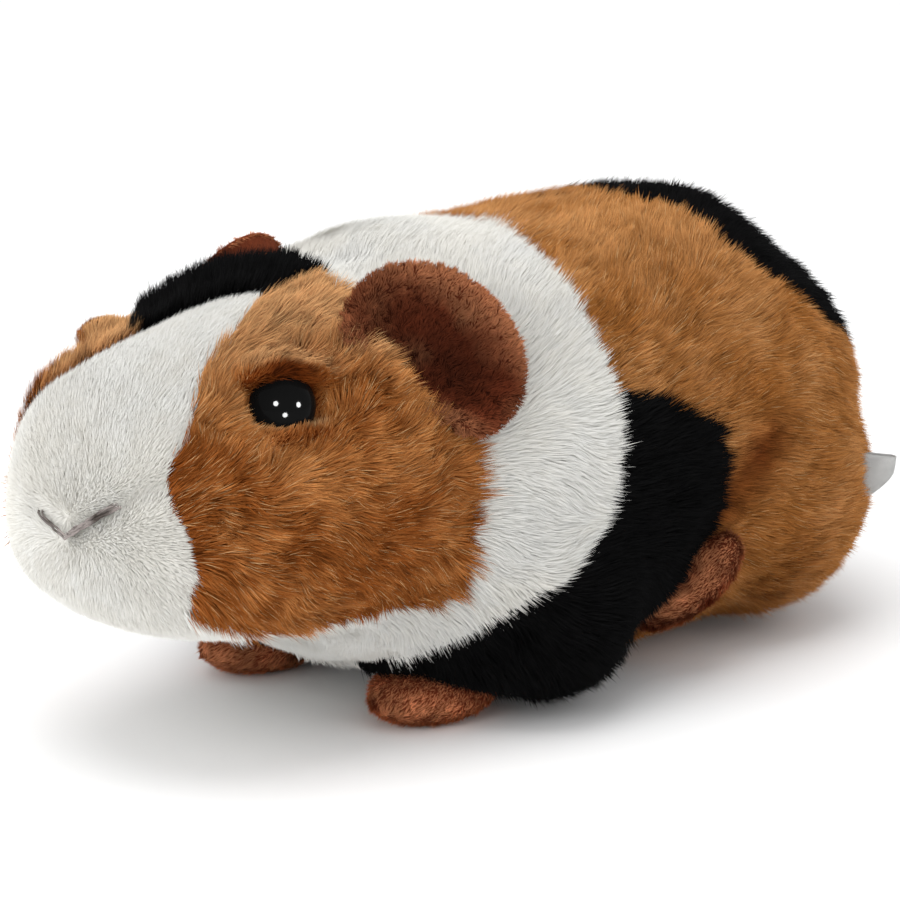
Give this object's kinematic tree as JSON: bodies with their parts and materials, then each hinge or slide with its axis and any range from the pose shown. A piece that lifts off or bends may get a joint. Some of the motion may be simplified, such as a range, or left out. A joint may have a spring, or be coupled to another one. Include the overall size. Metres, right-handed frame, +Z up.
{
  "type": "plush toy guinea pig",
  "caption": "Stuffed plush toy guinea pig lying on its belly, with a rounded body, cupped ears, button eyes, a stitched nose and small sewn feet.",
  "frame": {"origin": "centre of the bounding box on the floor, under the belly", "axes": "+Z up, nose towards -Y, the toy's left side towards +X"},
  "size_m": [0.1062, 0.1986, 0.0881],
  "materials": {
    "orange_plush": "long soft pile, orange brown",
    "white_plush": "long soft pile, off white",
    "black_plush": "long soft pile, black",
    "brown_plush": "short dense pile, dark red brown",
    "eye_button": "polished black",
    "nose_thread": "twisted embroidery thread, pinkish grey",
    "label_ribbon": "plain white satin ribbon"
  },
  "bodies": {
    "root": {"head": "orange_plush", "muzzle": "white_plush", "neck": "white_plush", "trunk": "orange_plush", "front_leg_left": "black_plush", "front_leg_right": "black_plush", "hind_leg_left": "orange_plush", "hind_leg_right": "orange_plush", "front_foot_left": "brown_plush", "front_foot_right": "brown_plush", "hind_foot_left": "brown_plush", "hind_foot_right": "brown_plush", "ear_left": "brown_plush", "ear_right": "brown_plush", "eye_left": "eye_button", "eye_right": "eye_button", "nose_stitch": "nose_thread", "label": "label_ribbon"}
  },
  "joints": []
}
